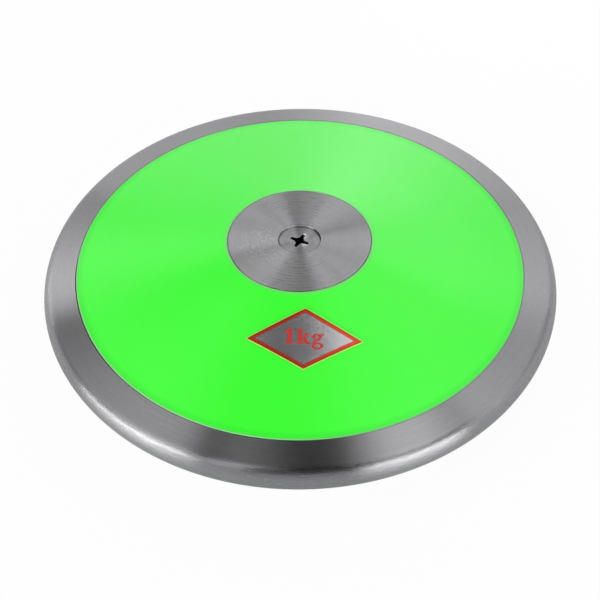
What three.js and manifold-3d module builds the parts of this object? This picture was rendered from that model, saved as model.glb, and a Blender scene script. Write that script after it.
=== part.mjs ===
// Discus of the 1 kg class, in millimetres, +Z up, with the origin in its middle.
// A steel rim carries a ribbed plastic side plate on each face. Two steel centre plates close the
// hub, and their countersunk screws meet in one long hexagonal nut. Both faces are alike, but only
// the upper one carries the foil label.
import * as THREE from "three";
import { mergeVertices } from "three/addons/utils/BufferGeometryUtils.js";
import Module from "manifold-3d";

const wasm = await Module();
wasm.setup();

// Whole discus
const outerRadius = 91;
const centreThickness = 38;
const rimThickness = 12; // taken rimThicknessInset in from the edge
const rimThicknessInset = 6;

// Steel rim
const rimBand = 12; // width of the steel outside the seats that the side plates lie in
const ledgeWidth = 6.4;
const ledgeThickness = 4;
const shoulderInset = 1.83; // from the edge to where the straight side gives way to the round
const shoulderSoftening = 1.6;
const rimLipChamfer = 0.25;

// Side plates
const sideWall = 2.5;
const sideEdgeClearance = 0.15;
const sideEdgeChamfer = 0.3;
const footWidth = 4;
const adhesiveThickness = 0.2;
const collarWall = 3.3; // outside the corners of the nut's pocket
const middleClearance = 0.15; // from the collar's and ribs' edges to the middle plane
const ribThickness = 1.8; // at the wall; the free edge is thinner by the draft
const ribDraft = 0.5;
const ribLedgeClearance = 0.6;
const ringRibRadius = 50;
const ribCount = 12; // from the collar to the foot, with a short one from the ring rib between

// Centre plates
const centrePlateRadius = 25;
const centrePlateLand = 0.73; // straight part of the hole under the countersink
const centrePlateChamfer = 0.25;
const pocketClearance = 0.15;

// Screws, M8 with a countersunk head
const screwRadius = 4;
const screwTipGap = 6; // between the tips of the two screws
const screwTipChamfer = 0.8;
const headRadius = 7.25;
const headLand = 0.3;
const headSink = 0.5; // from the centre plate's face down to the head's
const headClearance = 0.12;
const screwHoleClearance = 0.4;
const recessSpan = 7.6;
const recessFloorSpan = 3.4;
const recessWingWidth = 1.2;
const recessDepth = 3.4;
const recessCoreRadius = 1.75;
const recessTurn = THREE.MathUtils.degToRad(62);

// Hexagonal nut
const nutAcrossFlats = 13;
const nutEndChamfer = 0.6;
const nutEndAngle = THREE.MathUtils.degToRad(30);
const nutThreadClearance = 0.15;
const nutMouthChamfer = 0.6;
const nutPocketClearance = 0.15;
const hexagonSides = 6;

// Foil label
const labelLength = 38.7;
const labelWidth = 23.4; // seen from above; it follows the slope
const labelThickness = 0.2;
const labelGap = 0.05;
const labelAcross = 1.35;
const labelOut = 42.7; // from the axis to the label's middle, towards -Y
const labelTurn = THREE.MathUtils.degToRad(-2.5);

// Facets round a large and a small circle, and steps along half a rounded edge
const largeFacets = 72;
const smallFacets = 30;
const roundSteps = 2;

// How far a cutter runs past what it cuts, and a joined body into its neighbour
const overrun = 0.4;
const weldDistance = 1e-4;

// Heights and radii that follow from the sizes above. The screw head's cone has 90 degrees, so it
// is as deep as its radius shrinks.
const halfThickness = centreThickness / 2;
const seatRadius = outerRadius - rimBand;
const rimCheckRadius = outerRadius - rimThicknessInset;
const sideSlope =
  (halfThickness - rimThickness / 2) / (rimCheckRadius - centrePlateRadius);
const wallDrop = sideWall * Math.hypot(1, sideSlope); // the side wall, measured upright
const halfLedge = ledgeThickness / 2;
const ledgeRadius = seatRadius - ledgeWidth;
const sideEdgeRadius = seatRadius - sideEdgeClearance;
const footRadius = sideEdgeRadius - footWidth;
const footHeight = halfLedge + adhesiveThickness;
const pocketRadius = centrePlateRadius + pocketClearance;
const holeRadius = screwRadius + screwHoleClearance;
const mouthRadius = headRadius + headClearance;
const headHeight = halfThickness - headSink;
const coneHeight = headHeight - headLand;
const pocketHeight = coneHeight - (mouthRadius - holeRadius) - centrePlateLand;
const nutHalfLength = pocketHeight - sideWall;

// Height of the straight side at a radius, and of the inside of the plastic wall under it
function sideHeight(radius) {
  return halfThickness - (radius - centrePlateRadius) * sideSlope;
}

function wallHeight(radius) {
  return sideHeight(radius) - wallDrop;
}

// Distance from the middle of a hexagon to its corners
function hexagonRadius(acrossFlats) {
  return acrossFlats / 2 / Math.cos(Math.PI / hexagonSides);
}

// Radius and height pairs as profile points, run anticlockwise round the section
function profile(...pairs) {
  return pairs.map(([radius, height]) => new THREE.Vector2(radius, height));
}

function closed(points) {
  return [...points, points[0].clone()];
}

// A profile turned round the Z axis
function revolve(points, facets) {
  return new THREE.LatheGeometry(points, facets).rotateX(Math.PI / 2);
}

// An upright prism with round or flat sides between two heights
function prism(radius, low, high, facets) {
  return new THREE.CylinderGeometry(radius, radius, high - low, facets)
    .rotateX(Math.PI / 2)
    .translate(0, 0, (low + high) / 2);
}

// An outline drawn in radius and height, given a thickness and stood upright along +X
function uprightPlate(points, thickness) {
  const outline = new THREE.Shape(points);
  return new THREE.ExtrudeGeometry(outline, {
    depth: thickness,
    bevelEnabled: false,
  })
    .translate(0, 0, -thickness / 2)
    .rotateX(Math.PI / 2);
}

// Moulding draft: an upright plate along X loses thickness evenly from the high to the low end
function drafted(plate, thickness, draft, low, high) {
  const place = plate.attributes.position;
  for (let i = 0; i < place.count; i++) {
    const depthShare = (high - place.getZ(i)) / (high - low);
    place.setY(i, place.getY(i) * (1 - (depthShare * draft) / thickness));
  }
  return plate;
}

// A closed geometry as a solid that can be joined and cut, and a solid back as a geometry
function solidOf(geometry) {
  const bare = geometry.clone();
  bare.deleteAttribute("normal");
  bare.deleteAttribute("uv");
  const welded = mergeVertices(bare, weldDistance);
  const corners = welded.index.array;
  const kept = [];
  for (let i = 0; i < corners.length; i += 3) {
    const [a, b, c] = corners.slice(i, i + 3);
    if (a !== b && b !== c && c !== a) kept.push(a, b, c);
  }
  return new wasm.Manifold(
    new wasm.Mesh({
      numProp: 3,
      vertProperties: new Float32Array(welded.attributes.position.array),
      triVerts: new Uint32Array(kept),
    }),
  );
}

function geometryOf(solid) {
  const mesh = solid.getMesh();
  const geometry = new THREE.BufferGeometry();
  geometry.setAttribute(
    "position",
    new THREE.BufferAttribute(new Float32Array(mesh.vertProperties), 3),
  );
  geometry.setIndex(new THREE.BufferAttribute(new Uint32Array(mesh.triVerts), 1));
  geometry.computeVertexNormals();
  return geometry;
}

// The rim's upper half runs from the outermost point over the round, the softened shoulder and the
// straight side to the lip, then down the seat to the ledge. The lower half mirrors it.
function rimRing() {
  const shoulderRadius = outerRadius - shoulderInset;
  const shoulderHeight = sideHeight(shoulderRadius);
  const edgeRound =
    (shoulderHeight ** 2 + shoulderInset ** 2) / (2 * shoulderInset);
  const edgeCentre = outerRadius - edgeRound;
  const shoulderAngle = Math.atan2(shoulderHeight, shoulderRadius - edgeCentre);
  const straightEnd = shoulderRadius - shoulderSoftening;
  const lipRadius = seatRadius + rimLipChamfer;

  const section = new THREE.Path();
  section.absarc(
    edgeCentre,
    0,
    edgeRound,
    0,
    shoulderAngle - shoulderSoftening / edgeRound,
    false,
  );
  section.quadraticCurveTo(
    shoulderRadius,
    shoulderHeight,
    straightEnd,
    sideHeight(straightEnd),
  );
  section.lineTo(lipRadius, sideHeight(lipRadius));
  section.lineTo(seatRadius, sideHeight(seatRadius) - rimLipChamfer);
  section.lineTo(seatRadius, halfLedge);
  section.lineTo(ledgeRadius, halfLedge);

  const upper = section.getPoints(roundSteps);
  const lower = upper
    .slice(1)
    .map((point) => new THREE.Vector2(point.x, -point.y))
    .reverse();
  return revolve(closed([...lower, ...upper]), largeFacets);
}

// Moulded shell with a pocket for the centre plate and a foot that stands on the rim's ledge.
// A collar with a hexagonal pocket holds the nut. Long ribs run from the collar to the foot, short
// ones from the ring rib, and each gets thinner towards its free edge as the mould's draft asks.
function sidePlate() {
  const pocketWallRadius = pocketRadius + sideWall;
  const chamferRadius = sideEdgeRadius - sideEdgeChamfer;
  const ringInner = ringRibRadius - ribThickness / 2;
  const ringOuter = ringRibRadius + ribThickness / 2;
  const shell = profile(
    [0, nutHalfLength],
    [pocketWallRadius, nutHalfLength],
    [pocketWallRadius, wallHeight(pocketWallRadius)],
    [ringInner, wallHeight(ringInner)],
    [ringInner + ribDraft / 2, middleClearance],
    [ringOuter - ribDraft / 2, middleClearance],
    [ringOuter, wallHeight(ringOuter)],
    [footRadius, wallHeight(footRadius)],
    [footRadius, footHeight],
    [sideEdgeRadius, footHeight],
    [sideEdgeRadius, sideHeight(sideEdgeRadius) - sideEdgeChamfer],
    [chamferRadius, sideHeight(chamferRadius)],
    [pocketRadius, sideHeight(pocketRadius)],
    [pocketRadius, pocketHeight],
    [0, pocketHeight],
  );

  // The ribs and the collar end in the middle of the wall that they carry
  const insideWall = (radius) => wallHeight(radius) + wallDrop / 2;
  const insideFloor = nutHalfLength + sideWall / 2;
  const nutPocketRadius = hexagonRadius(nutAcrossFlats + 2 * nutPocketClearance);
  const collarRadius = nutPocketRadius + collarWall;
  const ribStart = collarRadius - overrun;
  const ribStep = pocketWallRadius - sideWall / 2;
  const ribShoulder = ledgeRadius - ribLedgeClearance;
  const ribEnd = footRadius + overrun;
  const ribFoot = [
    [ribShoulder, middleClearance],
    [ribShoulder, footHeight],
    [ribEnd, footHeight],
    [ribEnd, insideWall(ribEnd)],
  ];
  const longRib = profile(
    [ribStart, middleClearance],
    ...ribFoot,
    [ribStep, insideWall(ribStep)],
    [ribStep, insideFloor],
    [ribStart, insideFloor],
  );
  const shortRib = profile(
    [ringRibRadius, middleClearance],
    ...ribFoot,
    [ringRibRadius, insideWall(ringRibRadius)],
  );

  const added = [prism(collarRadius, middleClearance, insideFloor, smallFacets)];
  for (let i = 0; i < 2 * ribCount; i++) {
    const plate = uprightPlate(i % 2 ? shortRib : longRib, ribThickness);
    added.push(
      drafted(plate, ribThickness, ribDraft, middleClearance, halfThickness).rotateZ(
        (i * Math.PI) / ribCount,
      ),
    );
  }
  const removed = [
    prism(nutPocketRadius, middleClearance - overrun, nutHalfLength, hexagonSides),
    prism(holeRadius, nutHalfLength - overrun, pocketHeight + overrun, smallFacets),
  ];
  return geometryOf(
    solidOf(revolve(shell, largeFacets))
      .add(wasm.Manifold.union(added.map(solidOf)))
      .subtract(wasm.Manifold.union(removed.map(solidOf))),
  );
}

function adhesiveRing() {
  const section = profile(
    [footRadius, halfLedge],
    [sideEdgeRadius, halfLedge],
    [sideEdgeRadius, footHeight],
    [footRadius, footHeight],
  );
  return revolve(closed(section), largeFacets);
}

// Turned disc whose countersink follows the screw's head at the head clearance
function centrePlate() {
  const disc = profile(
    [0, pocketHeight],
    [centrePlateRadius, pocketHeight],
    [centrePlateRadius, halfThickness - centrePlateChamfer],
    [centrePlateRadius - centrePlateChamfer, halfThickness],
    [0, halfThickness],
  );
  const countersink = profile(
    [0, pocketHeight - overrun],
    [holeRadius, pocketHeight - overrun],
    [holeRadius, pocketHeight + centrePlateLand],
    [mouthRadius, coneHeight],
    [mouthRadius, halfThickness + overrun],
    [0, halfThickness + overrun],
  );
  return geometryOf(
    solidOf(revolve(disc, largeFacets)).subtract(
      solidOf(revolve(countersink, smallFacets)),
    ),
  );
}

// One pair of the cross recess's wings: a plate whose ends draw in towards the bottom
function recessWings() {
  const top = headHeight;
  const floor = headHeight - recessDepth;
  return uprightPlate(
    profile(
      [-recessFloorSpan / 2, floor],
      [recessFloorSpan / 2, floor],
      [recessSpan / 2, top],
      [recessSpan / 2, top + overrun],
      [-recessSpan / 2, top + overrun],
      [-recessSpan / 2, top],
    ),
    recessWingWidth,
  );
}

function screw() {
  const tip = screwTipGap / 2;
  const body = profile(
    [0, tip],
    [screwRadius - screwTipChamfer, tip],
    [screwRadius, tip + screwTipChamfer],
    [screwRadius, coneHeight - (headRadius - screwRadius)],
    [headRadius, coneHeight],
    [headRadius, headHeight],
    [0, headHeight],
  );
  const recessCore = profile(
    [0, headHeight - recessDepth - recessCoreRadius / 2],
    [recessCoreRadius, headHeight - recessDepth / 2],
    [recessCoreRadius, headHeight + overrun],
    [0, headHeight + overrun],
  );
  const recess = wasm.Manifold.union([
    solidOf(recessWings()),
    solidOf(recessWings().rotateZ(Math.PI / 2)),
    solidOf(revolve(recessCore, smallFacets / 2)),
  ]);
  return geometryOf(
    solidOf(revolve(body, smallFacets)).subtract(recess),
  ).rotateZ(recessTurn);
}

// Long nut: the hexagon's corners are turned off at both ends, and so are the thread's mouths
function hexNut() {
  const corner = hexagonRadius(nutAcrossFlats);
  const end = nutHalfLength;
  const faceRadius = corner - nutEndChamfer / Math.tan(nutEndAngle);
  const pastCorner = corner + overrun;
  const pastHeight = (pastCorner - faceRadius) * Math.tan(nutEndAngle);
  const barrel = profile(
    [0, -end],
    [faceRadius, -end],
    [pastCorner, pastHeight - end],
    [pastCorner, end - pastHeight],
    [faceRadius, end],
    [0, end],
  );
  const bore = screwRadius + nutThreadClearance;
  const mouth = bore + nutMouthChamfer;
  const thread = profile(
    [0, -end - overrun],
    [mouth, -end - overrun],
    [mouth, -end],
    [bore, nutMouthChamfer - end],
    [bore, end - nutMouthChamfer],
    [mouth, end],
    [mouth, end + overrun],
    [0, end + overrun],
  );
  return geometryOf(
    solidOf(prism(corner, -end - overrun, end + overrun, hexagonSides))
      .intersect(solidOf(revolve(barrel, smallFacets)))
      .subtract(solidOf(revolve(thread, smallFacets))),
  );
}

// A rhombus of foil that lies on the straight side and bends round it
function weightLabel() {
  const inner = centrePlateRadius;
  const outer = seatRadius;
  const low = labelGap;
  const high = labelGap + labelThickness;
  const foil = profile(
    [inner, sideHeight(inner) + low],
    [outer, sideHeight(outer) + low],
    [outer, sideHeight(outer) + high],
    [inner, sideHeight(inner) + high],
  );
  const rhombus = new THREE.Shape([
    new THREE.Vector2(labelLength / 2, 0),
    new THREE.Vector2(0, labelWidth / 2),
    new THREE.Vector2(-labelLength / 2, 0),
    new THREE.Vector2(0, -labelWidth / 2),
  ]);
  const outline = new THREE.ExtrudeGeometry(rhombus, {
    depth: centreThickness,
    bevelEnabled: false,
  })
    .rotateZ(labelTurn)
    .translate(labelAcross, -labelOut, 0);
  return geometryOf(
    solidOf(revolve(closed(foil), largeFacets)).intersect(solidOf(outline)),
  );
}

function finish(color, roughness, metalness) {
  return new THREE.MeshStandardMaterial({ color, roughness, metalness });
}

function part(name, geometry, material) {
  const mesh = new THREE.Mesh(geometry, material);
  mesh.name = name;
  return mesh;
}

const discus = new THREE.Group();
discus.add(part("rim_ring", rimRing(), finish(0x98969a, 0.38, 1)));
discus.add(part("hex_nut", hexNut(), finish(0xa9a79c, 0.45, 1)));

// The pieces that each face has, modelled for the upper one and turned over for the lower one
const facePieces = [
  ["rim_adhesive", adhesiveRing(), [0xd9cfa8, 0.6, 0]],
  ["side_plate", sidePlate(), [0x2cf52a, 0.28, 0]],
  ["centre_plate", centrePlate(), [0x9a989c, 0.34, 1]],
  ["screw", screw(), [0x87858a, 0.42, 1]],
];
for (const face of ["upper", "lower"]) {
  const half = new THREE.Group();
  if (face === "lower") half.rotation.x = Math.PI;
  for (const [piece, geometry, look] of facePieces) {
    half.add(part(face + "_" + piece, geometry, finish(...look)));
  }
  if (face === "upper") {
    half.add(part("weight_label", weightLabel(), finish(0xb4aeb8, 0.3, 0.8)));
  }
  discus.add(half);
}

export default discus;
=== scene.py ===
from math import atan2, cos, hypot, pi, radians, sin, tan

import bpy
from mathutils import Matrix


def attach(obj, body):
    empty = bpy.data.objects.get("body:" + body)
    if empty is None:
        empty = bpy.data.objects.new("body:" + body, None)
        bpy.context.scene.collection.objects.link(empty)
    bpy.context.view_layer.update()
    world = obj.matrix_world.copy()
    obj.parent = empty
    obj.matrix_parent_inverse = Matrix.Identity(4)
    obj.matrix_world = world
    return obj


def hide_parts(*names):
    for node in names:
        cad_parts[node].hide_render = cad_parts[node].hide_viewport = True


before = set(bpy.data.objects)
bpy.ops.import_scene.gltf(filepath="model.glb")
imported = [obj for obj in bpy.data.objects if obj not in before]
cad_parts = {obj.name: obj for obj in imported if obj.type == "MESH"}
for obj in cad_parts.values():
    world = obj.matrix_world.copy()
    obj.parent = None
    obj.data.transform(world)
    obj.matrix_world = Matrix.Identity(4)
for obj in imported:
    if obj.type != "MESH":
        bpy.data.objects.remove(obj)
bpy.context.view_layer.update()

mm = 0.001

# Whole discus, which lies a hair above the floor
outer_radius = 91
half_thickness = 19
hub_radius = 25
seat_radius = 79
side_slope = 13 / 60
floor_gap = 0.05
floor_radius = 4000

# Steel rim
rim_facets = 288
edge_steps = 22
shoulder_inset = 1.83
shoulder_ease = 1.6
shoulder_steps = 8
lip_ease = 0.15
ledge_radius = 72.6
half_ledge = 2
ledge_ease = 0.3
ledge_corner_ease = 0.2
guard = 0.05

# Plastic side plates
plate_facets = 240
plate_radius = 78.95
plate_ease = 0.2
wall = 2.5
wall_drop = wall * hypot(1, side_slope)
foot_radius = 74.85
foot_height = 2.2
ring_rib_radius = 50
ring_rib_draft = 0.25
rib_thickness = 1.8
rib_foot_share = 0.73
rib_foot_below = 3
rib_overlap = 0.4
rib_ledge_gap = 0.6
rib_count = 12
upright = 0.01
middle_gap = 0.15
pocket_radius = 25.15
floor_top = 14.5
floor_under = 12
collar_radius = 10.98
bolt_hole_radius = 4.4
nut_pocket_flats = 13.3

# Steel centre plates and their screws
hub_facets = 192
hub_ease = 0.2
head_radius = 7.25
head_land = 0.3
head_sink = 0.5
head_chamfer = 0.1
head_clearance = 0.12
head_height = half_thickness - head_sink
mouth_radius = head_radius + head_clearance
mouth_ease = 0.12
screw_radius = 4
screw_tip = 3
screw_tip_chamfer = 0.8
screw_facets = 128
recess_span = 7.6
recess_floor_span = 4.4
recess_width = 1.15
recess_middle_width = 2.2
recess_floor_share = 0.8
recess_corner = 0.22
recess_depth = 3.4
recess_core_top = 1.925
recess_core_bottom = 0.7
recess_core_height = 4.8
recess_core_rise = 0.3
recess_land = 0.6
recess_ease = 0.1
recess_over = 1
recess_turn = radians(62)

# Foil label
label_half_length = 19.6
label_half_width = 11.5
label_across = 1.17
label_out = 42.94
label_turn = radians(-2.7)
label_low = 0.05
label_high = 0.25
label_grid = 44
drop_height = 30
ink_sink = 0.005
ink_height = 0.03
letter_height = 5.7
baseline = -45


def side_height(radius):
    return half_thickness - (radius - hub_radius) * side_slope


def wall_height(radius):
    return side_height(radius) - wall_drop


# Camera at the photograph's place, for a square frame
camera = bpy.data.objects.new("camera", bpy.data.cameras.new("camera"))
bpy.context.collection.objects.link(camera)
camera.location = (0, -0.356117, 0.366063)
camera.rotation_euler = (radians(43.302), radians(0.5425), radians(-0.555))
camera.data.sensor_width = 36
camera.data.lens = 85.546
bpy.context.scene.camera = camera
bpy.context.scene.view_settings.view_transform = "Standard"


class Value:
    """A node's output as a number that Python expressions can use."""

    def __init__(self, recipe, socket):
        self.recipe = recipe
        self.socket = socket

    def __add__(self, other):
        return self.recipe.math("ADD", self, other)

    def __radd__(self, other):
        return self.recipe.math("ADD", other, self)

    def __sub__(self, other):
        return self.recipe.math("SUBTRACT", self, other)

    def __rsub__(self, other):
        return self.recipe.math("SUBTRACT", other, self)

    def __mul__(self, other):
        return self.recipe.math("MULTIPLY", self, other)

    def __rmul__(self, other):
        return self.recipe.math("MULTIPLY", other, self)

    def __truediv__(self, other):
        return self.recipe.math("DIVIDE", self, other)

    def __pow__(self, other):
        return self.recipe.math("POWER", self, other)

    def __abs__(self):
        return self.recipe.node("ShaderNodeMath", {"operation": "ABSOLUTE"}, {0: self})


class Recipe:
    """The nodes of one material or of the surround."""

    def __init__(self, tree):
        self.tree = tree
        tree.nodes.clear()

    def node(self, kind, settings, inputs, output=0):
        made = self.tree.nodes.new(kind)
        for name, setting in settings.items():
            setattr(made, name, setting)
        for name, value in inputs.items():
            if isinstance(value, Value):
                self.tree.links.new(value.socket, made.inputs[name])
            else:
                made.inputs[name].default_value = value
        return Value(self, made.outputs[output]) if len(made.outputs) else made

    def math(self, operation, first, second):
        return self.node("ShaderNodeMath", {"operation": operation}, {0: first, 1: second})

    def rays(self):
        """Whether a ray comes from the camera, from a glossy surface or through a clear one."""
        kinds = ("Is Camera Ray", "Is Glossy Ray", "Is Transmission Ray")
        return [self.node("ShaderNodeLightPath", {}, {}, kind) for kind in kinds]

    def split(self, output):
        place = self.node("ShaderNodeTexCoord", {}, {}, output)
        return [self.node("ShaderNodeSeparateXYZ", {}, {0: place}, axis) for axis in range(3)]

    def place(self):
        """Object coordinates in millimetres."""
        return [axis * 1000 for axis in self.split("Object")]

    def vector(self, x, y, z):
        return self.node("ShaderNodeCombineXYZ", {}, {0: x, 1: y, 2: z})

    def noise(self, vector, scale, detail=2.0, rough=0.5):
        sockets = {"Vector": vector, "Scale": scale, "Detail": detail, "Roughness": rough}
        return self.node("ShaderNodeTexNoise", {}, sockets)

    def step(self, value, low, high):
        """0 at low and 1 at high, with a soft start and end."""
        settings = {"interpolation_type": "SMOOTHSTEP"}
        return self.node("ShaderNodeMapRange", settings, {0: value, 1: low, 2: high})

    def blend(self, share, first, second):
        return self.node("ShaderNodeMix", {"data_type": "RGBA"}, {0: share, 6: first, 7: second}, 2)

    def bump(self, height, depth, under=None):
        """Relief of a depth in millimetres, over another relief if there is one."""
        sockets = {"Height": height, "Distance": depth * mm}
        if under:
            sockets["Normal"] = under
        return self.node("ShaderNodeBump", {}, sockets)

    def surface(self, sockets):
        shader = self.node("ShaderNodeBsdfPrincipled", {}, sockets)
        self.node("ShaderNodeOutputMaterial", {}, {0: shader})


def rgb(red, green, blue):
    return (red, green, blue, 1)


def new_recipe(name):
    material = bpy.data.materials.new(name)
    material.use_nodes = True
    return material, Recipe(material.node_tree)


def lathe_marks(recipe, x, y, z, pitch, length, detail=2.0):
    """Noise drawn out into rings or streaks about the axis, on the faces and on the rim's round."""
    radius = (x * x + y * y) ** 0.5
    along = (radius - 2 * z) / pitch
    return recipe.noise(recipe.vector(x / length, y / length, along), 1, detail)


def feed_marks(recipe, x, y, z, pitch):
    """Thin rings that the lathe tool left, broken into short arcs, kept mostly at the front and the back
    and faint at the sides.
    """
    radius = (x * x + y * y) ** 0.5
    wander = recipe.noise(recipe.vector(x / 14, y / 14, z), 1, 1)
    wave = recipe.math("SINE", (radius / pitch + wander) * (2 * pi), 0)
    arcs = recipe.noise(recipe.vector(x / 3, y / 3, radius / 1.2), 1, 2)
    kept = 0.06 + 0.94 * recipe.step(abs(y) / radius, 0.7, 0.93)
    return recipe.step(wave, 0.35, 0.95) * recipe.step(arcs, 0.48, 0.56) * kept


def chatter_marks(recipe, x, y, z):
    """Short, rough marks in a patch on the left of the centre, where the tool chattered."""
    away = ((x + 12) ** 2 + (y + 2) ** 2) ** 0.5
    marks = recipe.step(lathe_marks(recipe, x, y, z, 0.7, 1.1), 0.5, 0.62)
    return marks * (1 - recipe.step(away, 5, 13))


def turned_steel(
    name, light, dark, groove_depth, painted_shade, rounded=None, feed_depth=0, chatter_share=0, painted_highlight=None
):
    """Steel as it comes off the lathe: fine and coarse rings, feed marks and short streaks.

    The light and dark tones are mixed by the rings. Painted shade, the polished round and painted
    highlights are functions of the place, and all depths are in millimetres.
    """
    streak_depth = 0.004
    coarse_depth = 0.003
    uneven_depth = 0.09
    feed_pitch = 1.4
    material, recipe = new_recipe(name)
    x, y, z = recipe.place()
    fine = lathe_marks(recipe, x, y, z, 0.16, 30)
    coarse = lathe_marks(recipe, x, y, z, 0.75, 40, 3)
    broad = lathe_marks(recipe, x, y, z, 3.5, 20)
    streaks = lathe_marks(recipe, x, y, z, 0.4, 2.5, 3)
    tone = recipe.step(fine * 0.35 + coarse * 0.15 + broad * 0.1 + streaks * 0.4, 0.34, 0.66)
    rough = 0.24 + coarse * 0.04 + broad * 0.03 + streaks * 0.05
    # Painted shade: near-black colour in gaps, seams and recesses where shade falls.
    shade_share = painted_shade(recipe, x, y, z)
    metallic = 1
    if rounded:
        rough = rough - 0.035 * rounded(recipe, z)
    relief = recipe.bump(streaks, streak_depth, recipe.bump(fine, groove_depth))
    relief = recipe.bump(coarse, coarse_depth, relief)
    if rounded:
        uneven = (lathe_marks(recipe, x, y, z, 1.2, 4, 3) - 0.5) * rounded(recipe, z)
        relief = recipe.bump(uneven, uneven_depth, relief)
    colour = recipe.blend(tone, dark, light)
    if feed_depth:
        rings = feed_marks(recipe, x, y, z, feed_pitch)
        chatter = chatter_marks(recipe, x, y, z)
        colour = recipe.blend(0.6 * rings, colour, rgb(0.22, 0.22, 0.23))
        colour = recipe.blend(chatter_share * chatter, colour, rgb(0.62, 0.62, 0.63))
        relief = recipe.bump(rings, feed_depth, relief)
    # Painted highlight: pale, less metallic colour where edges catch the light.
    if painted_highlight:
        highlight = painted_highlight(recipe, x, y, z)
        colour = recipe.blend(highlight, colour, rgb(0.85, 0.85, 0.85))
        metallic = 1 - 0.8 * highlight
    recipe.surface({
        "Base Color": recipe.blend(shade_share, colour, rgb(0.008, 0.008, 0.008)),
        "Metallic": metallic,
        "Roughness": rough + shade_share * 0.3,
        "Anisotropic": 1,
        "Anisotropic Rotation": 0.25,
        "Normal": relief,
    })
    return material


def rim_round(recipe, z):
    """1 on the rim's round outside the shoulders, which is polished by handling."""
    return 1 - recipe.step(abs(z), 4.8, 5.4)


def patchy(recipe, x, y, radius, seed, least):
    """A share that comes and goes along a round gap, from the least up to 1."""
    patches = recipe.noise(recipe.vector(x / radius * 1.6, y / radius * 1.6, seed), 1, 3)
    return least + (1 - least) * recipe.step(patches, 0.42, 0.58)


def front_left(recipe, x, y, radius):
    """1 on the left of the label, fading out to both sides."""
    return recipe.step((x * 0.77 + y * 0.64) / radius * -1, 0.45, 0.85)


def lip_painted_shade(recipe, x, y, z):
    """Painted shade: a faint dark line on the rim's lip next to the plastic, patchy and strongest at the
    front left.
    """
    radius = (x * x + y * y) ** 0.5
    lip = 1 - recipe.step(radius, seat_radius + 0.2, seat_radius + 0.42)
    return lip * (0.12 + 0.75 * front_left(recipe, x, y, radius)) * patchy(recipe, x, y, radius, 3.1, 0.5)


def gap_shade_patches(recipe, x, y, radius):
    """Where painted shade darkens the gap round the screw's head: mostly at the left and the right."""
    return recipe.step(abs(x) / radius, 0.5, 0.9) * patchy(recipe, x, y, radius, 7.7, 0.3)


def hub_painted_shade(recipe, x, y, z):
    """Painted shade in the gap at the countersink's mouth, and a slightly darker line of painted shade at
    the centre plate's edge.
    """
    radius = (x * x + y * y) ** 0.5
    mouth = 1 - recipe.step(radius, mouth_radius + 0.02, mouth_radius + 0.25)
    edge = recipe.step(radius, hub_radius - 0.28, hub_radius - 0.1) * 0.15
    return mouth * gap_shade_patches(recipe, x, y, radius) + edge


def hub_painted_highlight(recipe, x, y, z):
    """Painted highlight on the back wall of the countersink's mouth."""
    below_face = 1 - recipe.step(abs(z), half_thickness - 0.2, half_thickness - 0.05)
    return 0.5 * below_face * recipe.step(y / mouth_radius, 0.3, 0.8)


def near_recess(recipe, radius):
    """1 within the reach of the cross recess."""
    return 1 - recipe.step(radius, 4.6, 4.9)


def screw_painted_shade(recipe, x, y, z):
    """Painted shade: black down in the cross recess, and dark in the gap round the head."""
    radius = (x * x + y * y) ** 0.5
    down = 1 - recipe.step(abs(z), head_height - 0.2, head_height - 0.12)
    head = recipe.step(radius, head_radius - 0.25, head_radius - 0.08)
    return down * near_recess(recipe, radius) + head * gap_shade_patches(recipe, x, y, radius)


def screw_painted_highlight(recipe, x, y, z):
    """Painted highlights on burrs that a driver left round the recess, and one painted glint on a nick.
    """
    radius = (x * x + y * y) ** 0.5
    mouth = 1 - recipe.step(abs(z), head_height - 0.03, head_height - 0.01)
    spots = recipe.step(recipe.noise(recipe.vector(x, y, 5.3), 0.35, 2), 0.45, 0.6)
    # Painted glint: one near-white spot beside the upper right arm of the cross.
    glint = 1 - recipe.step(((x - 1.9) ** 2 + (y - 2.9) ** 2) ** 0.5, 0.25, 0.6)
    return 0.5 * mouth * near_recess(recipe, radius) * spots + glint


def moulded_green():
    """Glossy fluorescent plastic, greyer at the outer edge and round the hub pocket, with painted shade
    and a painted highlight near the rim, and faint handling marks.
    """
    material, recipe = new_recipe("fluorescent_green_plastic")
    x, y, z = recipe.place()
    radius = (x * x + y * y) ** 0.5
    cloud = recipe.noise(recipe.vector(x, y, z), 0.03, 3)
    grain = recipe.noise(recipe.vector(x, y, z), 3, 2)
    scuff = recipe.noise(recipe.vector(x, y, z), 1.2, 5, 0.7)
    colour = recipe.blend(cloud, rgb(0.042, 0.98, 0.031), rgb(0.057, 1, 0.043))
    # Painted shade: the green darkens towards the rim.
    colour = recipe.blend(recipe.step(radius, 75.5, 78.3), colour, rgb(0.037, 0.9, 0.032))
    rim_edge = recipe.step(radius, 77.9, 78.9) * (0.65 + 0.25 * scuff)
    colour = recipe.blend(rim_edge, colour, rgb(0.17, 0.5, 0.17))
    # Painted highlight: a pale line along the plate's outer edge, at the front left.
    edge_highlight = recipe.step(radius, 78.5, 78.65) * front_left(recipe, x, y, radius)
    colour = recipe.blend(edge_highlight * (0.2 + 0.55 * scuff), colour, rgb(0.36, 0.88, 0.32))
    hub_edge = (1 - recipe.step(radius, 25.2, 26.8)) * (0.7 + 0.2 * scuff)
    colour = recipe.blend(hub_edge, colour, rgb(0.2, 0.58, 0.19))
    recipe.surface({
        "Base Color": colour,
        "Roughness": 0.2 + 0.08 * grain + 0.03 * scuff,
        "IOR": 1.46,
        "Normal": recipe.bump(grain, 0.004),
    })
    return material


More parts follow.
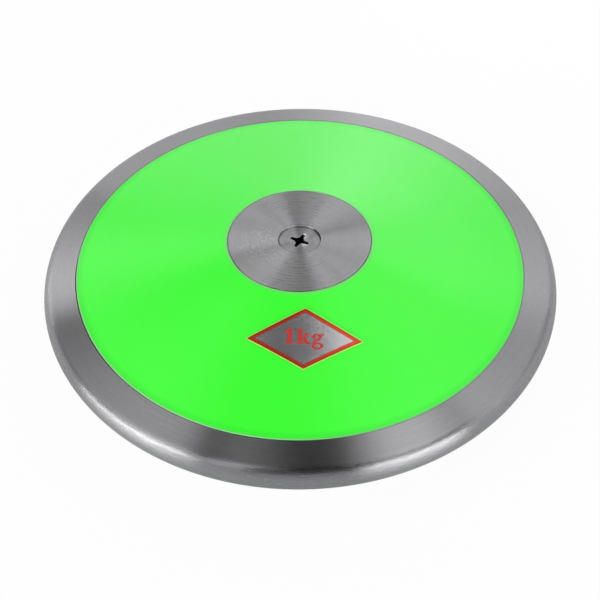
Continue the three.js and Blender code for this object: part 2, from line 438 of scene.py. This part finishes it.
def plated_nut():
    """Zinc plating, faintly yellow, with soft blotches."""
    material, recipe = new_recipe("zinc_plated_nut")
    x, y, z = recipe.place()
    blotch = recipe.noise(recipe.vector(x, y, z), 0.35, 4)
    grain = recipe.noise(recipe.vector(x, y, z * 0.2), 6, 3)
    recipe.surface({
        "Base Color": recipe.blend(blotch, rgb(0.46, 0.44, 0.38), rgb(0.36, 0.36, 0.34)),
        "Metallic": 1,
        "Roughness": 0.3 + 0.25 * blotch,
        "Normal": recipe.bump(grain, 0.006),
    })
    return material


def cured_adhesive():
    """Cream resin, slightly uneven."""
    material, recipe = new_recipe("cream_adhesive")
    x, y, z = recipe.place()
    lumps = recipe.noise(recipe.vector(x, y, z), 0.5, 4)
    recipe.surface({
        "Base Color": recipe.blend(lumps, rgb(0.62, 0.54, 0.32), rgb(0.75, 0.69, 0.47)),
        "Roughness": 0.45 + 0.2 * lumps,
        "Normal": recipe.bump(lumps, 0.05),
    })
    return material


def speck(recipe, across, upward, at_across, at_upward):
    """A tiny dark speck on the foil."""
    away = ((across - at_across) ** 2 + (upward - at_upward) ** 2) ** 0.5
    return 1 - recipe.step(away, 0.12, 0.32)


def printed_foil():
    """Silver foil with a red border that is brown outside, and a thin yellow line round it."""
    material, recipe = new_recipe("printed_foil")
    x, y, z = recipe.place()
    across = (x - label_across) * cos(label_turn) + (y + label_out) * sin(label_turn)
    upward = (y + label_out) * cos(label_turn) - (x - label_across) * sin(label_turn)
    reach = abs(across) / label_half_length + abs(upward) / label_half_width
    width = label_half_length * label_half_width / hypot(label_half_length, label_half_width)
    inset = (1 - reach) * width
    rolled = recipe.noise(recipe.vector(across * 0.06, upward * 1.2, z), 1, 4)
    creases = recipe.noise(recipe.vector(x, y, z), 0.12, 2)
    specks = speck(recipe, across, upward, 7.7, 3.1) + speck(recipe, across, upward, 4.5, 3.9)
    silver = recipe.blend(rolled, rgb(0.64, 0.63, 0.66), rgb(0.68, 0.67, 0.69))
    silver = recipe.blend(specks * 0.8, silver, rgb(0.06, 0.04, 0.09))
    red = recipe.blend(rolled, rgb(0.86, 0.095, 0.045), rgb(0.76, 0.08, 0.042))
    border = 1 - recipe.step(inset, 1.6, 1.85)
    brown = 1 - recipe.step(inset, 0.5, 0.85)
    line = 1 - recipe.step(inset, 0.24, 0.34)
    colour = recipe.blend(brown, recipe.blend(border, silver, red), rgb(0.36, 0.1, 0.02))
    colour = recipe.blend(line, colour, rgb(0.66, 0.78, 0.15))
    recipe.surface({
        "Base Color": colour,
        "Metallic": 0.9 - 0.05 * border - 0.6 * line,
        "Roughness": 0.2 + 0.05 * rolled + 0.08 * border,
        "Normal": recipe.bump(creases, 0.08),
    })
    return material


def red_ink():
    """The label's printed figures: thin red ink that lets some of the foil's gloss through."""
    material, recipe = new_recipe("red_ink")
    x, y, z = recipe.place()
    cover = recipe.noise(recipe.vector(x, y, z), 2.5, 3)
    recipe.surface({
        "Base Color": recipe.blend(cover, rgb(0.78, 0.065, 0.065), rgb(0.5, 0.045, 0.05)),
        "Metallic": 0.5,
        "Roughness": 0.32 + 0.15 * cover,
        "Normal": recipe.bump(cover, 0.004),
    })
    return material


def pale_floor():
    """White, slightly glossy sheet that the camera sees as almost paper white, with a faint shadow."""
    material, recipe = new_recipe("pale_floor")
    sheet = {"Base Color": rgb(0.86, 0.86, 0.86), "Roughness": 0.15, "IOR": 1.5}
    glossy = recipe.node("ShaderNodeBsdfPrincipled", {}, sheet)
    paper = recipe.node("ShaderNodeEmission", {}, {"Color": rgb(1, 1, 1), "Strength": 1})
    seen, mirrored, through = recipe.rays()
    share = seen * 0.96 + (mirrored + through) * 0.15
    mixed = recipe.node("ShaderNodeMixShader", {}, {0: share, 1: glossy, 2: paper})
    recipe.node("ShaderNodeOutputMaterial", {}, {0: mixed})
    return material


def deselect():
    bpy.ops.object.select_all(action="DESELECT")


def edit(select="SELECT"):
    bpy.ops.object.mode_set(mode="EDIT")
    bpy.ops.mesh.select_all(action=select)


def leave_edit():
    bpy.ops.object.mode_set(mode="OBJECT")


def pick(piece, test):
    """Edits a piece with only the vertices selected that pass a test of their place."""
    edit("DESELECT")
    leave_edit()
    for vertex in piece.data.vertices:
        vertex.select = test(vertex.co / mm)
    bpy.ops.object.mode_set(mode="EDIT")


def settle():
    """Puts the active piece's place into its mesh."""
    bpy.ops.object.transform_apply(location=True, rotation=True, scale=True)


def activate(piece):
    deselect()
    piece.select_set(True)
    bpy.context.view_layer.objects.active = piece


def apply(piece, kind, **settings):
    activate(piece)
    step = piece.modifiers.new(kind.lower(), kind)
    for name, setting in settings.items():
        setattr(step, name, setting)
    bpy.ops.object.modifier_apply(modifier=step.name)


def combine(piece, tool, operation):
    apply(piece, "BOOLEAN", object=tool, operation=operation, solver="EXACT")
    bpy.data.objects.remove(tool)


def smooth(piece, degrees=32):
    activate(piece)
    bpy.ops.object.shade_smooth_by_angle(angle=radians(degrees))


def on_curve(t, *three):
    """Point at t, from 0 to 1, on the curve that three points control."""
    weights = ((1 - t) ** 2, 2 * t * (1 - t), t * t)
    return tuple(sum(w * p[k] for w, p in zip(weights, three)) for k in (0, 1))


def eased(corners, steps=4):
    """Profile points from corners of radius, height and how far before the corner its round starts.

    A guard point stands just off each end of a round, so that the flats beside it are shaded flat.
    """
    points = []
    ring = corners[-1:] + corners + corners[:1]
    for before, (radius, height, ease), after in zip(ring, ring[1:], ring[2:]):
        if not ease:
            points.append((radius, height))
            continue
        ends, guards = [], []
        for other in (before, after):
            length = hypot(other[0] - radius, other[1] - height)
            for made, distance in ((ends, ease), (guards, ease + guard)):
                share = distance / length
                made.append((radius + (other[0] - radius) * share, height + (other[1] - height) * share))
        points.append(guards[0])
        for step in range(steps + 1):
            points.append(on_curve(step / steps, ends[0], (radius, height), ends[1]))
        points.append(guards[1])
    return points


def turned(name, points, facets, ring=True):
    """A circle extruded and resized from point to point of a profile, as on a lathe."""
    deselect()
    first_radius, first_height = points[0]
    bpy.ops.mesh.primitive_circle_add(
        vertices=facets, radius=first_radius * mm, location=(0, 0, first_height * mm)
    )
    piece = bpy.context.object
    piece.name = name
    settle()
    edit()
    if not ring:
        bpy.ops.mesh.edge_face_add()
        edit()
    stations = points + points[:1] if ring else points
    for (radius, height), (next_radius, next_height) in zip(stations, stations[1:]):
        rise = (0, 0, (next_height - height) * mm)
        grow = next_radius / radius
        bpy.ops.mesh.extrude_region_move(TRANSFORM_OT_translate={"value": rise})
        bpy.ops.transform.resize(value=(grow, grow, 1), center_override=(0, 0, 0))
    edit()
    bpy.ops.mesh.remove_doubles(threshold=0.002 * mm)
    bpy.ops.mesh.normals_make_consistent(inside=False)
    leave_edit()
    return piece


def shown(piece, material, slot, *nodes):
    """Gives a finished piece its material and ties it to the frame."""
    piece.data.materials.clear()
    piece.data.materials.append(material)
    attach(piece, "root")
    if nodes:
        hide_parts(*nodes)


def turned_over(piece, name):
    """A copy of an upper piece for the lower face."""
    activate(piece)
    bpy.ops.object.duplicate()
    copy = bpy.context.object
    copy.name = name
    bpy.ops.transform.rotate(value=pi, orient_axis="X", center_override=(0, 0, 0))
    settle()
    return copy


def make_rim():
    """Ring with tapered faces, a round edge and a ledge inside, alike on both sides."""
    shoulder_radius = outer_radius - shoulder_inset
    shoulder_height = side_height(shoulder_radius)
    edge_round = (shoulder_height**2 + shoulder_inset**2) / (2 * shoulder_inset)
    edge_centre = outer_radius - edge_round
    last_angle = atan2(shoulder_height, shoulder_radius - edge_centre) - shoulder_ease / edge_round
    edge = []
    for step in range(-edge_steps, edge_steps + 1):
        angle = last_angle * step / edge_steps
        edge.append((edge_centre + edge_round * cos(angle), edge_round * sin(angle)))
    straight_end = shoulder_radius - shoulder_ease
    flat = (straight_end, side_height(straight_end))
    shoulder = []
    for step in range(1, shoulder_steps + 1):
        t = step / shoulder_steps
        shoulder.append(on_curve(t, edge[-1], (shoulder_radius, shoulder_height), flat))
    flat_start = straight_end - 4 * guard
    inner = eased([
        (*flat, 0),
        (flat_start, side_height(flat_start), 0),
        (seat_radius, side_height(seat_radius), lip_ease),
        (seat_radius, half_ledge, ledge_corner_ease),
        (ledge_radius, half_ledge, ledge_ease),
        (ledge_radius, -half_ledge, ledge_ease),
        (seat_radius, -half_ledge, ledge_corner_ease),
        (seat_radius, -side_height(seat_radius), lip_ease),
        (flat_start, -side_height(flat_start), 0),
        (straight_end, -side_height(straight_end), 0),
    ], 3)
    lower_shoulder = [(radius, -height) for radius, height in reversed(shoulder)]
    rim = turned("steel_rim", edge + shoulder + inner[1:-1] + lower_shoulder, rim_facets)
    smooth(rim)
    return rim


def make_ribs(name, stations):
    """Twelve upright ribs from one beam: its end is extruded outwards, station by station."""
    deselect()
    start, low, high = stations[0]
    middle = (low + high) / 2
    bpy.ops.mesh.primitive_plane_add(
        size=1, location=(start * mm, 0, middle * mm), rotation=(0, pi / 2, 0)
    )
    ribs = bpy.context.object
    ribs.name = name
    ribs.scale = ((high - low) * mm, rib_thickness * mm, 1)
    settle()
    edit()
    for (x, low, high), (next_x, next_low, next_high) in zip(stations, stations[1:]):
        rise = (next_low + next_high - low - high) / 2
        move = ((next_x - x) * mm, 0, rise * mm)
        stretch = (next_high - next_low) / (high - low)
        middle = (next_x * mm, 0, (next_low + next_high) / 2 * mm)
        bpy.ops.mesh.extrude_region_move(TRANSFORM_OT_translate={"value": move})
        bpy.ops.transform.resize(value=(1, 1, stretch), center_override=middle)
    pick(ribs, lambda place: place.z < rib_foot_below)
    bpy.ops.transform.resize(value=(1, rib_foot_share, 1), center_override=(0, 0, 0))
    edit()
    bpy.ops.mesh.normals_make_consistent(inside=False)
    bpy.ops.mesh.spin(
        steps=rib_count - 1, dupli=True, angle=2 * pi * (rib_count - 1) / rib_count,
        center=(0, 0, 0), axis=(0, 0, 1),
    )
    leave_edit()
    return ribs


def make_side_plate():
    """Moulded cone with a pocket for the centre plate, a foot, a ring rib, a collar and ribs."""
    step_radius = pocket_radius + wall
    rib_inner = ring_rib_radius - rib_thickness / 2
    rib_outer = ring_rib_radius + rib_thickness / 2
    plate = turned("upper_plastic_plate", eased([
        (bolt_hole_radius, floor_top, 0),
        (pocket_radius, floor_top, 0.4),
        (pocket_radius, side_height(pocket_radius), 0.2),
        (plate_radius, side_height(plate_radius), plate_ease),
        (plate_radius, foot_height, 0.2),
        (foot_radius, foot_height, 0.2),
        (foot_radius, wall_height(foot_radius), 0.8),
        (rib_outer, wall_height(rib_outer), 0.6),
        (rib_outer - ring_rib_draft, middle_gap, 0.3),
        (rib_inner + ring_rib_draft, middle_gap, 0.3),
        (rib_inner, wall_height(rib_inner), 0.6),
        (step_radius, wall_height(step_radius), 1),
        (step_radius, floor_under, 0.8),
        (collar_radius, floor_under, 0.8),
        (collar_radius, middle_gap, 0.3),
        (bolt_hole_radius, middle_gap, 0),
    ]), plate_facets)

    in_wall = wall_drop / 2
    rib_step = step_radius - wall / 2
    rib_end = foot_radius + rib_overlap
    rib_shoulder = ledge_radius - rib_ledge_gap
    foot = [
        (rib_shoulder, middle_gap, wall_height(rib_shoulder) + in_wall),
        (rib_shoulder + upright, foot_height, wall_height(rib_shoulder) + in_wall),
        (rib_end, foot_height, wall_height(rib_end) + in_wall),
    ]
    long_ribs = make_ribs("long_ribs", [
        (collar_radius - rib_overlap, middle_gap, floor_under + wall / 2),
        (rib_step, middle_gap, floor_under + wall / 2),
        (rib_step + upright, middle_gap, wall_height(rib_step) + in_wall),
        *foot,
    ])
    combine(plate, long_ribs, "UNION")
    short_ribs = make_ribs("short_ribs", [
        (ring_rib_radius, middle_gap, wall_height(ring_rib_radius) + in_wall),
        *foot,
    ])
    activate(short_ribs)
    bpy.ops.transform.rotate(value=pi / rib_count, orient_axis="Z", center_override=(0, 0, 0))
    settle()
    combine(plate, short_ribs, "UNION")

    deselect()
    bpy.ops.mesh.primitive_cylinder_add(
        vertices=6, radius=nut_pocket_flats / 2 / cos(pi / 6) * mm,
        depth=2 * floor_under * mm, location=(0, 0, 0),
    )
    nut_pocket = bpy.context.object
    combine(plate, nut_pocket, "DIFFERENCE")
    smooth(plate)
    return plate


def make_centre_plate():
    """Turned disc with a countersunk hole."""
    cone_high = head_height - head_land
    plate = turned("upper_hub_plate", eased([
        (bolt_hole_radius, floor_top, 0),
        (bolt_hole_radius, cone_high - (mouth_radius - bolt_hole_radius), 0),
        (mouth_radius, cone_high, 0),
        (mouth_radius, half_thickness, mouth_ease),
        (hub_radius, half_thickness, hub_ease),
        (hub_radius, floor_top, 0.2),
    ], 3), hub_facets)
    smooth(plate, 25)
    return plate


def make_wings():
    """One pair of the cross recess's wings, narrower at the bottom and flared at the mouth."""
    deselect()
    middle = head_height + (recess_over - recess_depth) / 2
    bpy.ops.mesh.primitive_cube_add(size=1, location=(0, 0, middle * mm))
    wings = bpy.context.object
    wings.scale = (recess_span * mm, recess_width * mm, (recess_depth + recess_over) * mm)
    settle()
    edit()
    bpy.ops.mesh.bisect(plane_co=(0, 0, 0), plane_no=(1, 0, 0))
    leave_edit()
    pick(wings, lambda place: abs(place.x) < 0.01)
    bpy.ops.transform.resize(value=(1, recess_middle_width / recess_width, 1), center_override=(0, 0, 0))
    leave_edit()
    pick(wings, lambda place: place.z < head_height - recess_depth / 2)
    narrower = recess_floor_span / recess_span
    bpy.ops.transform.resize(value=(narrower, recess_floor_share, 1), center_override=(0, 0, 0))
    leave_edit()
    apply(wings, "BEVEL", width=recess_corner * mm, segments=3, limit_method="ANGLE")
    edit()
    bpy.ops.mesh.bisect(plane_co=(0, 0, (head_height - recess_ease) * mm), plane_no=(0, 0, 1))
    leave_edit()
    pick(wings, lambda place: place.z > head_height)
    growth = 2 * (recess_over + recess_ease)
    flare = (1 + growth / recess_span, 1 + growth / recess_width, 1)
    bpy.ops.transform.resize(value=flare, center_override=(0, 0, 0))
    leave_edit()
    return wings


def make_screw():
    """M8 countersunk screw with a cross recess, its head a little below the centre plate's face."""
    cone_high = head_height - head_land
    middle_hole = 0.05
    body = turned("upper_screw_steel", [
        (screw_radius - screw_tip_chamfer, screw_tip),
        (screw_radius, screw_tip + screw_tip_chamfer),
        (screw_radius, cone_high - (head_radius - screw_radius)),
        (head_radius, cone_high),
        (head_radius, head_height - head_chamfer),
        (head_radius - head_chamfer, head_height),
        (recess_span / 2 + recess_land, head_height),
        (middle_hole, head_height),
    ], screw_facets, ring=False)
    pick(body, lambda place: hypot(place.x, place.y) < 2 * middle_hole and place.z > 0)
    bpy.ops.mesh.edge_face_add()
    leave_edit()

    first = make_wings()
    second = make_wings()
    activate(second)
    bpy.ops.transform.rotate(value=pi / 2, orient_axis="Z", center_override=(0, 0, 0))
    settle()
    combine(first, second, "UNION")
    deselect()
    bpy.ops.mesh.primitive_cone_add(
        vertices=32, radius1=recess_core_bottom * mm, radius2=recess_core_top * mm,
        depth=recess_core_height * mm,
        location=(0, 0, (head_height - recess_depth / 2 + recess_core_rise) * mm),
    )
    core = bpy.context.object
    combine(first, core, "UNION")
    activate(first)
    bpy.ops.transform.rotate(value=-recess_turn, orient_axis="Z", center_override=(0, 0, 0))
    settle()
    combine(body, first, "DIFFERENCE")
    smooth(body, 25)
    return body


def lay_on_plate(sheet, plate, low, thickness):
    """Drops a flat sheet on to the plastic cone and gives it its thickness."""
    apply(
        sheet, "SHRINKWRAP", target=plate, wrap_method="PROJECT", use_project_z=True,
        use_negative_direction=True, use_positive_direction=False, offset=low * mm,
        wrap_mode="ABOVE_SURFACE",
    )
    apply(sheet, "SOLIDIFY", thickness=thickness * mm, offset=1)


def make_label(plate):
    """The foil's rhombus, finely divided so that it follows the cone."""
    deselect()
    bpy.ops.mesh.primitive_circle_add(vertices=4, radius=1, fill_type="NGON", location=(0, 0, 0))
    label = bpy.context.object
    label.name = "foil_label"
    label.scale = (label_half_length * mm, label_half_width * mm, 1)
    settle()
    edit()
    bpy.ops.mesh.subdivide(number_cuts=label_grid)
    bpy.ops.transform.rotate(value=-label_turn, orient_axis="Z", center_override=(0, 0, 0))
    leave_edit()
    label.location = (label_across * mm, -label_out * mm, drop_height * mm)
    settle()
    lay_on_plate(label, plate, label_low, label_high - label_low)
    smooth(label)
    return label


# Outlines of the figures, in shares of a letter's height. A corner is straight on both sides, the
# other points are on curves.
corner, curve = "VECTOR", "AUTO"
figure_one = [[
    (0.0, 0.87, curve), (0.17, 0.92, curve), (0.25, 1.0, corner), (0.45, 1.0, corner),
    (0.45, 0.09, corner), (0.58, 0.09, corner), (0.58, 0, corner), (0, 0, corner),
    (0, 0.09, corner), (0.16, 0.09, corner), (0.16, 0.78, corner), (0.0, 0.78, corner),
]]
letter_k = [[
    (0, 1, corner), (0.34, 1, corner), (0.34, 0.38, corner), (0.52, 0.6, corner), (0.44, 0.6, corner),
    (0.44, 0.69, corner), (0.78, 0.69, corner), (0.78, 0.6, corner), (0.68, 0.6, corner),
    (0.55, 0.46, corner), (0.75, 0.09, corner), (0.84, 0.09, corner), (0.84, 0, corner),
    (0.46, 0, corner), (0.46, 0.09, corner), (0.49, 0.09, corner), (0.39, 0.29, corner),
    (0.34, 0.23, corner), (0.34, 0.09, corner), (0.42, 0.09, corner), (0.42, 0, corner),
    (0, 0, corner), (0, 0.09, corner), (0.08, 0.09, corner), (0.08, 0.91, corner), (0, 0.91, corner),
]]
letter_g = [
    [
        (0.67, 0.71, corner), (0.54, 0.68, curve), (0.47, 0.65, corner), (0.29, 0.7, curve),
        (0.0, 0.47, curve), (0.14, 0.27, curve), (0.04, 0.16, curve), (0.08, 0.05, curve),
        (-0.03, -0.09, curve), (0.31, -0.33, curve), (0.66, -0.07, curve), (0.48, 0.13, curve),
        (0.24, 0.17, curve), (0.25, 0.23, corner), (0.3, 0.23, curve), (0.57, 0.46, curve),
        (0.52, 0.58, corner), (0.67, 0.58, corner),
    ],
    [(0.29, 0.61, curve), (0.36, 0.47, curve), (0.29, 0.32, curve), (0.22, 0.47, curve)],
    [(0.3, 0.02, curve), (0.49, -0.09, curve), (0.32, -0.2, curve), (0.15, -0.1, curve)],
]
figures = [(-5.45, figure_one), (-1.5, letter_k), (3.65, letter_g)]


def make_figures(plate):
    """The generic weight marking, cut from flat curves."""
    deselect()
    outline = bpy.data.curves.new("weight_figures", "CURVE")
    outline.dimensions = "2D"
    outline.fill_mode = "BOTH"
    outline.resolution_u = 8
    for start, contours in figures:
        for contour in contours:
            spline = outline.splines.new("BEZIER")
            spline.bezier_points.add(len(contour) - 1)
            spline.use_cyclic_u = True
            for point, (x, y, kind) in zip(spline.bezier_points, contour):
                point.co = ((start - label_across + x * letter_height) * mm,
                            (baseline + label_out + y * letter_height) * mm, 0)
                point.handle_left_type = kind
                point.handle_right_type = kind
    ink = bpy.data.objects.new("weight_figures", outline)
    bpy.context.collection.objects.link(ink)
    activate(ink)
    bpy.ops.object.convert(target="MESH")
    ink = bpy.context.object
    ink.location = (label_across * mm, -label_out * mm, drop_height * mm)
    ink.rotation_euler = (0, 0, label_turn)
    settle()
    edit()
    bpy.ops.mesh.normals_make_consistent(inside=False)
    leave_edit()
    lay_on_plate(ink, plate, label_high - ink_sink, ink_height)
    return ink


rim_steel = turned_steel(
    "turned_rim_steel", rgb(0.346, 0.346, 0.356), rgb(0.302, 0.302, 0.312), 0.003, lip_painted_shade,
    rounded=rim_round,
)
hub_steel = turned_steel(
    "turned_hub_steel", rgb(0.43, 0.43, 0.44), rgb(0.373, 0.373, 0.383), 0.003, hub_painted_shade,
    feed_depth=0.035, chatter_share=0.45, painted_highlight=hub_painted_highlight,
)
screw_steel = turned_steel(
    "turned_screw_steel", rgb(0.4, 0.4, 0.41), rgb(0.3, 0.3, 0.31), 0.008, screw_painted_shade,
    feed_depth=0.012, painted_highlight=screw_painted_highlight,
)
green_plastic = moulded_green()

rim = make_rim()
upper_plate = make_side_plate()
upper_hub = make_centre_plate()
upper_screw = make_screw()
label = make_label(upper_plate)
ink = make_figures(upper_plate)
lower_plate = turned_over(upper_plate, "lower_plastic_plate")
lower_hub = turned_over(upper_hub, "lower_hub_plate")
lower_screw = turned_over(upper_screw, "lower_screw_steel")

shown(rim, rim_steel, "rim_steel", "rim_ring")
shown(upper_plate, green_plastic, "side_plastic", "upper_side_plate")
shown(lower_plate, green_plastic, "side_plastic", "lower_side_plate")
shown(upper_hub, hub_steel, "centre_steel", "upper_centre_plate")
shown(lower_hub, hub_steel, "centre_steel", "lower_centre_plate")
shown(upper_screw, screw_steel, "screw_steel", "upper_screw")
shown(lower_screw, screw_steel, "screw_steel", "lower_screw")
shown(label, printed_foil(), "label_foil", "weight_label")
shown(ink, red_ink(), "label_foil")

for name, material in (
    ("hex_nut", plated_nut()),
    ("upper_rim_adhesive", cured_adhesive()),
    ("lower_rim_adhesive", cured_adhesive()),
):
    for material_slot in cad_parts[name].material_slots:
        material_slot.material = material

# Floor, soft lights and surround
deselect()
bpy.ops.mesh.primitive_circle_add(
    vertices=64, radius=floor_radius * mm, fill_type="NGON",
    location=(0, 0, -(half_thickness + floor_gap) * mm),
)
floor = bpy.context.object
floor.name = "studio_floor"
settle()
floor.data.materials.append(pale_floor())

light_distance = 1500 * mm


def softbox(name, azimuth, elevation, width, height, level, turn):
    """An area light that spans width by height degrees, seen from the discus.

    Its radiance is the level, and it is turned in its own plane. All angles are in degrees.
    """
    lamp = bpy.data.lights.new(name, "AREA")
    lamp.shape = "RECTANGLE"
    lamp.size = 2 * light_distance * tan(radians(width / 2))
    lamp.size_y = 2 * light_distance * tan(radians(height / 2))
    lamp.energy = level * pi * lamp.size * lamp.size_y
    light = bpy.data.objects.new(name, lamp)
    bpy.context.collection.objects.link(light)
    round_axis = Matrix.Rotation(radians(azimuth + 90), 4, "Z")
    aim = round_axis @ Matrix.Rotation(radians(90 - elevation), 4, "X")
    light.rotation_euler = (aim @ Matrix.Rotation(radians(turn), 4, "Z")).to_euler()
    light.location = aim.to_3x3().col[2] * light_distance
    light.visible_camera = False


softbox("left_softbox", -154, 9, 51, 25, 3.9, 35)
softbox("front_right_softbox", -49, 11, 38, 24, 4.2, -24)
softbox("top_strip", 19, 72, 44, 19, 0.87, -10)
softbox("top_lamp", 3, 70, 20, 14, 1.93, 4)
softbox("back_right_strip", 70, 32, 40, 16, 1.7, -35)
softbox("right_strip", 20, 48, 72, 23, 0.93, 19)
softbox("back_softbox", 92, 23, 38, 36, 0.82, 28)
softbox("back_left_strip", 131, 31, 37, 14, 1.64, -35)
softbox("top_left_softbox", -179, 54, 62, 30, 0.89, -22)
softbox("front_left_strip", -122, 50, 14, 61, 0.98, 4)

# The surround is white for the camera. Metal mirrors it white low down and dark high up, with a
# darker patch on the near side. Plastic gets a glow from low down, most of it from the near side.
world = bpy.data.worlds.new("surround")
bpy.context.scene.world = world
world.use_nodes = True
sky = Recipe(world.node_tree)
_, north, up = sky.split("Generated")
low = 1 - sky.step(up, 0.02, 0.82)
backdrop = low * (0.4 + 0.6 * sky.step(north, -0.85, -0.5))
seen, mirrored, through = sky.rays()
share = seen + (mirrored + through) * backdrop
glow_strength = low * (1.18 - 0.82 * north) * (1 - mirrored - through)
glow = sky.node("ShaderNodeBackground", {}, {"Color": rgb(1, 1, 1), "Strength": glow_strength})
white = sky.node("ShaderNodeBackground", {}, {"Color": rgb(1, 1, 1), "Strength": 1})
mixed = sky.node("ShaderNodeMixShader", {}, {0: share, 1: glow, 2: white})
sky.node("ShaderNodeOutputWorld", {}, {0: mixed})
